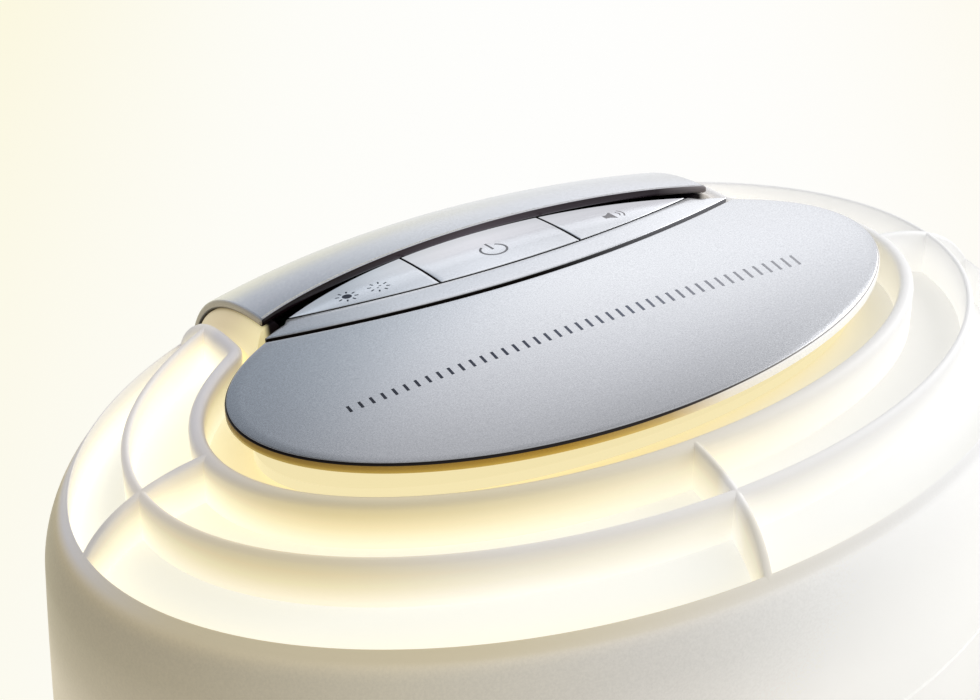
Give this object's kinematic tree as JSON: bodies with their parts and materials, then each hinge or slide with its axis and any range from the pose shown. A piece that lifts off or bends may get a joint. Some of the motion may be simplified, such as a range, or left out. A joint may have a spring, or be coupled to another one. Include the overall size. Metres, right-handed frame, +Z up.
{
  "type": "sunrise alarm clock",
  "caption": "Oval drum-shaped wake-up light with a glowing shade, vent grille of oval rings, silver snooze plate, hooded top buttons and a front display.",
  "frame": {"origin": "on the table, under the middle of the clock's outline", "axes": "+Z up, front with display towards -Y, +X to the right of someone facing the display"},
  "size_m": [0.185, 0.1264, 0.23],
  "materials": {
    "shade": "translucent white, lit from inside",
    "grille": "translucent white",
    "diffuser": "translucent, warm glow",
    "silver_plastic": "silver lacquer, satin",
    "silver_plate": "silver lacquer, satin",
    "black_plastic": "matt black",
    "grey_plastic": "matt light grey",
    "steel": "zinc plated",
    "steel_dark": "dark",
    "aluminium": "bright rolled",
    "brass": "plain",
    "ceramic": "glazed white",
    "lamp_glass": "frosted, lit",
    "board": "green solder mask",
    "core": "lacquered",
    "capacitor": "sleeved",
    "wire": "insulated",
    "window": "dark tinted",
    "cone": "coated paper",
    "rubber": "matt"
  },
  "bodies": {
    "clock": {"drum_shade": "shade", "top_grille": "grille", "inner_diffuser": "diffuser", "rear_spine": "silver_plastic", "button_bezel": "silver_plastic", "deck_carrier": "black_plastic", "snooze_springs": "steel", "rocker_pin": "steel", "switch_board": "board", "tact_switches": "black_plastic", "deck_screws": "steel", "heat_shield": "aluminium", "shield_screws": "steel", "lamp_glass": "lamp_glass", "lamp_cap": "brass", "lamp_socket": "ceramic", "lamp_leads": "wire", "reflector": "aluminium", "chassis": "grey_plastic", "spine_screws": "steel", "power_board": "board", "transformer": "core", "capacitors": "capacitor", "power_jack": "black_plastic", "main_board": "board", "lcd_module": "black_plastic", "display_window": "window", "display_frame": "silver_plastic", "setting_switches": "black_plastic", "speaker_frame": "steel_dark", "speaker_cone": "cone", "base_cover": "grey_plastic", "rubber_feet": "rubber", "base_screws": "steel"},
    "snooze": {"snooze_plate": "silver_plate", "plate_screws": "steel"},
    "light": {"light_button": "silver_plastic"},
    "power": {"power_button": "silver_plastic"},
    "sound": {"sound_button": "silver_plastic"},
    "menu": {"menu_button": "silver_plastic"},
    "minus": {"minus_button": "silver_plastic"},
    "plus": {"plus_button": "silver_plastic"},
    "alarm": {"alarm_button": "silver_plastic"}
  },
  "joints": [
    {"name": "snooze_press", "type": "slide", "parent": "clock", "child": "snooze", "axis": [0, 0, -1], "range_m": [0, 0.0012], "stiffness_N_per_m": 1500, "springref_m": -0.0012, "deforming": ["snooze_springs"]},
    {"name": "light_rock", "type": "hinge", "parent": "clock", "child": "light", "pos_m": [-0.026, 0.02255, 0.223], "axis": [0, 1, 0], "range_deg": [-1.8, 1.8], "stiffness_Nm_per_rad": 0.4},
    {"name": "power_press", "type": "slide", "parent": "clock", "child": "power", "axis": [0, 0, -1], "range_m": [0, 0.0008], "stiffness_N_per_m": 900, "springref_m": -0.0006},
    {"name": "sound_press", "type": "slide", "parent": "clock", "child": "sound", "axis": [0, 0, -1], "range_m": [0, 0.0008], "stiffness_N_per_m": 900, "springref_m": -0.0006},
    {"name": "menu_press", "type": "slide", "parent": "clock", "child": "menu", "axis": [0, 1, 0], "range_m": [0, 0.0007], "stiffness_N_per_m": 900, "springref_m": -0.0006},
    {"name": "minus_press", "type": "slide", "parent": "clock", "child": "minus", "axis": [0, 1, 0], "range_m": [0, 0.0007], "stiffness_N_per_m": 900, "springref_m": -0.0006},
    {"name": "plus_press", "type": "slide", "parent": "clock", "child": "plus", "axis": [0, 1, 0], "range_m": [0, 0.0007], "stiffness_N_per_m": 900, "springref_m": -0.0006},
    {"name": "alarm_press", "type": "slide", "parent": "clock", "child": "alarm", "axis": [0, 1, 0], "range_m": [0, 0.0007], "stiffness_N_per_m": 900, "springref_m": -0.0006}
  ]
}
